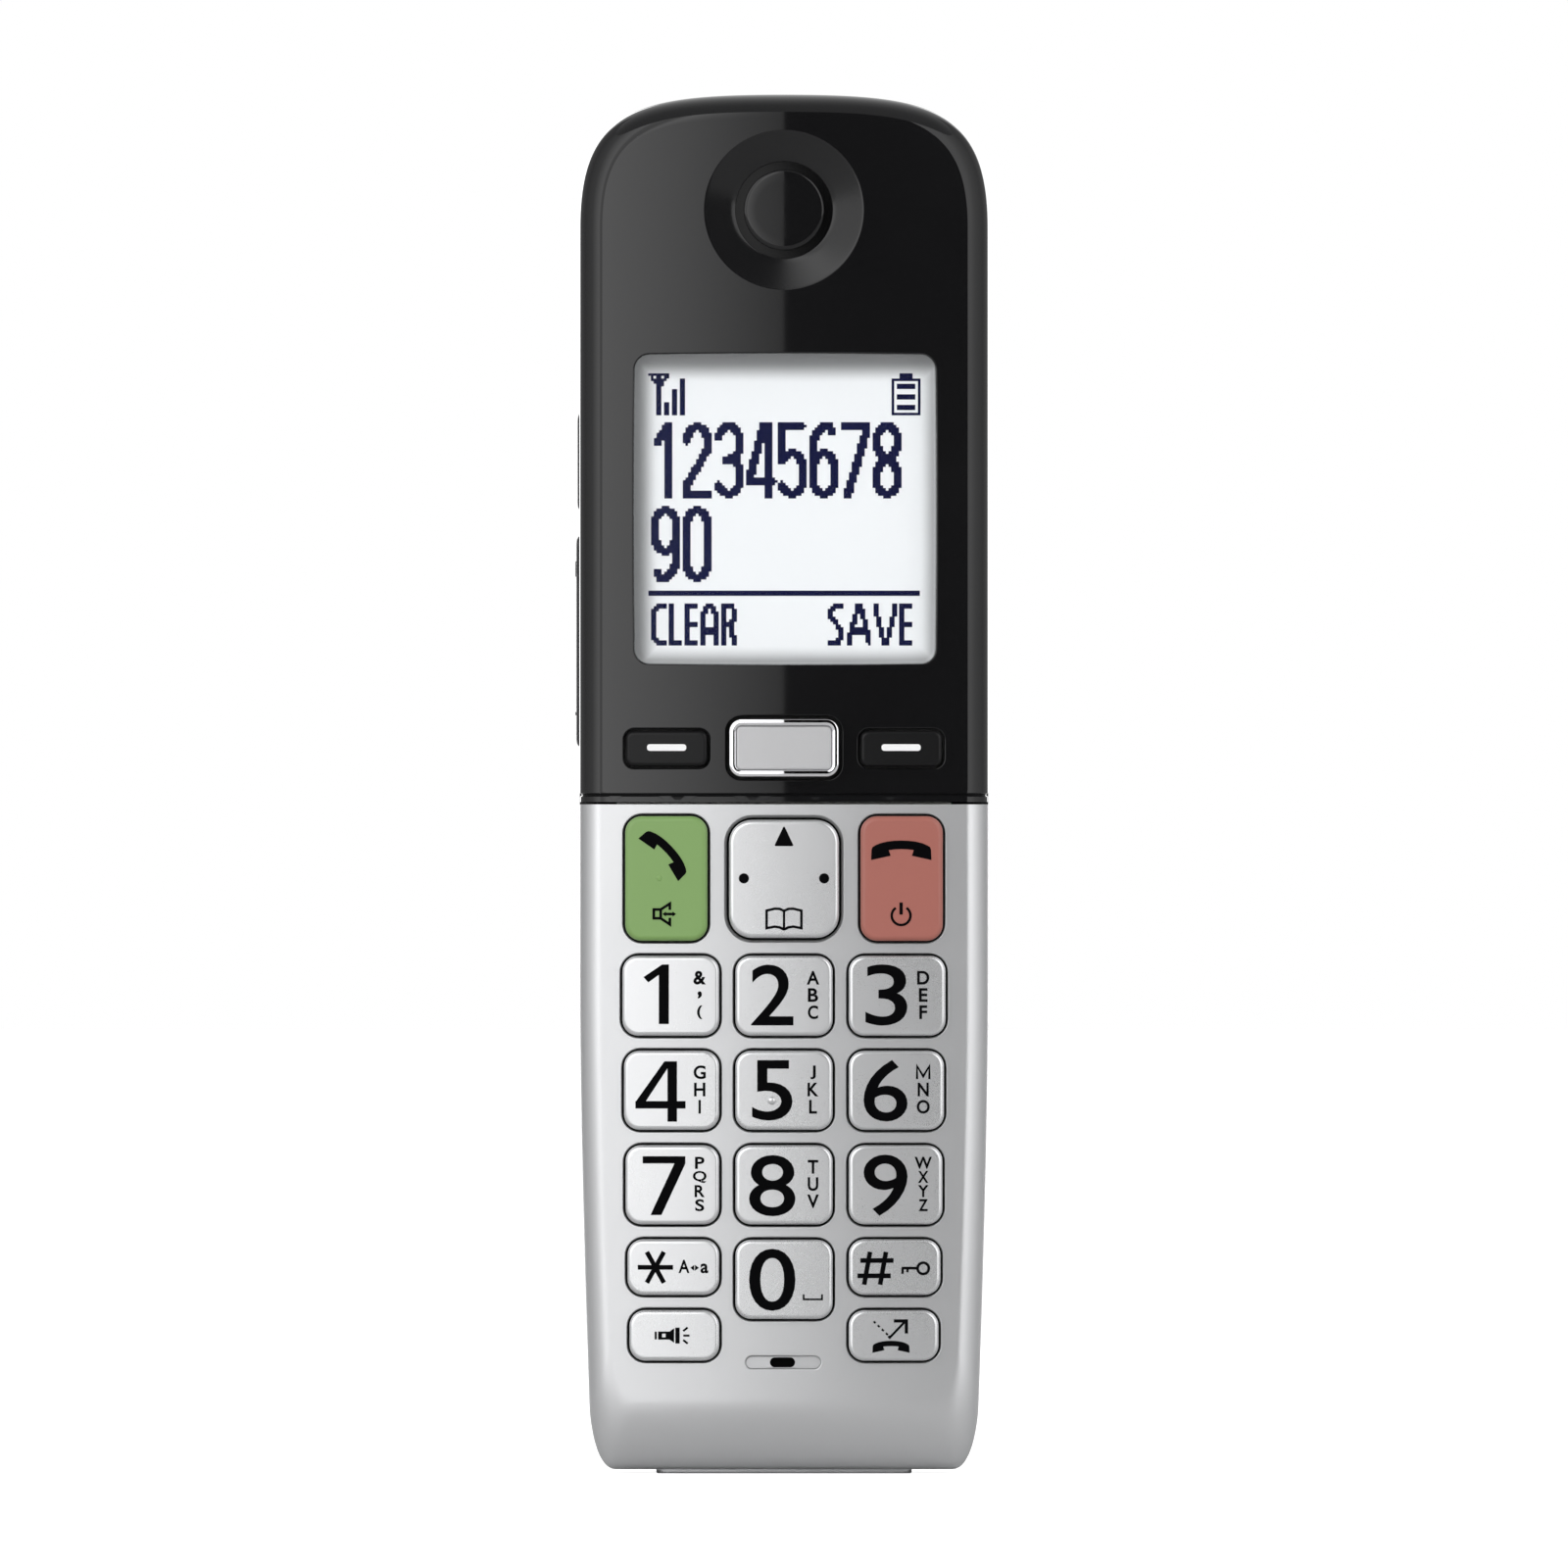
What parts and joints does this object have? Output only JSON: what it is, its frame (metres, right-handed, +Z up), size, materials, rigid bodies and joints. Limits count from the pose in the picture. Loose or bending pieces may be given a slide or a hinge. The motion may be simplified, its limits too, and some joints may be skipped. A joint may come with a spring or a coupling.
{
  "type": "cordless telephone handset",
  "caption": "Cordless telephone handset with large number keys, a square display, a tilting navigator, side keys and a lift-off battery cover.",
  "frame": {"origin": "on the floor, in the middle of the foot's width, 1 mm behind the joint between the front covers and the rear cover", "axes": "+Z up along the handset, the keys and display face -Y, +X to the right seen from the front"},
  "size_m": [0.0527, 0.0293, 0.176],
  "materials": {
    "gloss_black": "polished black",
    "satin_black": "fine-textured black",
    "silver_paint": "satin metallic silver paint",
    "key_silver": "satin metallic silver paint",
    "chrome": "mirror plating",
    "insert_grey": "satin grey",
    "talk_green": "satin green",
    "off_red": "satin red",
    "clear_plastic": "clear polished",
    "lcd": "lit display",
    "white_plastic": "satin white",
    "silicone": "matte",
    "board": "green solder mask",
    "steel": "plated",
    "gold_plate": "gold plated",
    "cell_wrap": "printed film",
    "dark_plastic": "matte"
  },
  "bodies": {
    "handset": {"front_cover_upper": "gloss_black", "front_cover_lower": "silver_paint", "rear_cover": "satin_black", "display_window": "clear_plastic", "lcd_panel": "lcd", "backlight": "white_plastic", "earpiece_cap": "gloss_black", "earpiece_speaker": "steel", "keypad_mat": "silicone", "main_board": "board", "antenna": "steel", "microphone": "steel", "loudspeaker": "steel", "battery_cell_left": "cell_wrap", "battery_cell_right": "cell_wrap", "battery_spring_plate": "steel", "battery_contact_plate": "steel", "charge_contact_left": "gold_plate", "charge_contact_right": "gold_plate", "torch_lens": "clear_plastic", "torch_led": "white_plastic", "screw_bottom_left": "steel", "screw_bottom_right": "steel", "screw_top_left": "steel", "screw_top_right": "steel"},
    "key_0": {"key_0": "key_silver"},
    "key_1": {"key_1": "key_silver"},
    "key_2": {"key_2": "key_silver"},
    "key_3": {"key_3": "key_silver"},
    "key_4": {"key_4": "key_silver"},
    "key_5": {"key_5": "key_silver"},
    "key_6": {"key_6": "key_silver"},
    "key_7": {"key_7": "key_silver"},
    "key_8": {"key_8": "key_silver"},
    "key_9": {"key_9": "key_silver"},
    "key_star": {"key_star": "key_silver"},
    "key_hash": {"key_hash": "key_silver"},
    "torch_key": {"torch_key": "key_silver"},
    "transfer_key": {"transfer_key": "key_silver"},
    "talk_key": {"talk_key": "talk_green"},
    "off_key": {"off_key": "off_red"},
    "soft_key_left": {"soft_key_left": "gloss_black"},
    "soft_key_right": {"soft_key_right": "gloss_black"},
    "center_key": {"center_key_frame": "chrome", "center_key_insert": "insert_grey"},
    "navigator_rocker": {"navigator_pivot": "dark_plastic"},
    "navigator": {"navigator_key": "key_silver"},
    "volume_key": {"volume_key": "satin_black"},
    "boost_key": {"boost_key": "satin_black"},
    "battery_cover": {"battery_cover": "satin_black"}
  },
  "joints": [
    {"name": "key_0_press", "type": "slide", "parent": "handset", "child": "key_0", "axis": [0, 1, 0], "range_m": [0, 0.0007], "stiffness_N_per_m": 1500},
    {"name": "key_1_press", "type": "slide", "parent": "handset", "child": "key_1", "axis": [0, 1, 0], "range_m": [0, 0.0007], "stiffness_N_per_m": 1500},
    {"name": "key_2_press", "type": "slide", "parent": "handset", "child": "key_2", "axis": [0, 1, 0], "range_m": [0, 0.0007], "stiffness_N_per_m": 1500},
    {"name": "key_3_press", "type": "slide", "parent": "handset", "child": "key_3", "axis": [0, 1, 0], "range_m": [0, 0.0007], "stiffness_N_per_m": 1500},
    {"name": "key_4_press", "type": "slide", "parent": "handset", "child": "key_4", "axis": [0, 1, 0], "range_m": [0, 0.0007], "stiffness_N_per_m": 1500},
    {"name": "key_5_press", "type": "slide", "parent": "handset", "child": "key_5", "axis": [0, 1, 0], "range_m": [0, 0.0007], "stiffness_N_per_m": 1500},
    {"name": "key_6_press", "type": "slide", "parent": "handset", "child": "key_6", "axis": [0, 1, 0], "range_m": [0, 0.0007], "stiffness_N_per_m": 1500},
    {"name": "key_7_press", "type": "slide", "parent": "handset", "child": "key_7", "axis": [0, 1, 0], "range_m": [0, 0.0007], "stiffness_N_per_m": 1500},
    {"name": "key_8_press", "type": "slide", "parent": "handset", "child": "key_8", "axis": [0, 1, 0], "range_m": [0, 0.0007], "stiffness_N_per_m": 1500},
    {"name": "key_9_press", "type": "slide", "parent": "handset", "child": "key_9", "axis": [0, 1, 0], "range_m": [0, 0.0007], "stiffness_N_per_m": 1500},
    {"name": "key_star_press", "type": "slide", "parent": "handset", "child": "key_star", "axis": [0, 1, 0], "range_m": [0, 0.0007], "stiffness_N_per_m": 1500},
    {"name": "key_hash_press", "type": "slide", "parent": "handset", "child": "key_hash", "axis": [0, 1, 0], "range_m": [0, 0.0007], "stiffness_N_per_m": 1500},
    {"name": "torch_key_press", "type": "slide", "parent": "handset", "child": "torch_key", "axis": [0, 1, 0], "range_m": [0, 0.0007], "stiffness_N_per_m": 1500},
    {"name": "transfer_key_press", "type": "slide", "parent": "handset", "child": "transfer_key", "axis": [0, 1, 0], "range_m": [0, 0.0007], "stiffness_N_per_m": 1500},
    {"name": "talk_key_press", "type": "slide", "parent": "handset", "child": "talk_key", "axis": [0, 1, 0], "range_m": [0, 0.0007], "stiffness_N_per_m": 1500},
    {"name": "off_key_press", "type": "slide", "parent": "handset", "child": "off_key", "axis": [0, 1, 0], "range_m": [0, 0.0007], "stiffness_N_per_m": 1500},
    {"name": "soft_key_left_press", "type": "slide", "parent": "handset", "child": "soft_key_left", "axis": [0, 1, 0], "range_m": [0, 0.0007], "stiffness_N_per_m": 1500},
    {"name": "soft_key_right_press", "type": "slide", "parent": "handset", "child": "soft_key_right", "axis": [0, 1, 0], "range_m": [0, 0.0007], "stiffness_N_per_m": 1500},
    {"name": "center_key_press", "type": "slide", "parent": "handset", "child": "center_key", "axis": [0, 1, 0], "range_m": [0, 0.0007], "stiffness_N_per_m": 1500},
    {"name": "boost_key_press", "type": "slide", "parent": "handset", "child": "boost_key", "axis": [1, 0, 0], "range_m": [0, 0.0005], "stiffness_N_per_m": 2500},
    {"name": "navigator_up_down", "type": "hinge", "parent": "handset", "child": "navigator_rocker", "pos_m": [0, -0.0102, 0.0759], "axis": [1, 0, 0], "range_deg": [-2.5, 2.5], "stiffness_Nm_per_rad": 0.2},
    {"name": "navigator_left_right", "type": "hinge", "parent": "navigator_rocker", "child": "navigator", "pos_m": [0, -0.0102, 0.0759], "axis": [0, 0, 1], "range_deg": [-2.5, 2.5], "stiffness_Nm_per_rad": 0.2},
    {"name": "volume_key_rock", "type": "hinge", "parent": "handset", "child": "volume_key", "pos_m": [-0.024, 0.0028, 0.10625], "axis": [0, 1, 0], "range_deg": [-2, 2], "stiffness_Nm_per_rad": 1},
    {"name": "battery_cover_off", "type": "slide", "parent": "handset", "child": "battery_cover", "axis": [0, 1, 0], "range_m": [0, 0.02]}
  ]
}
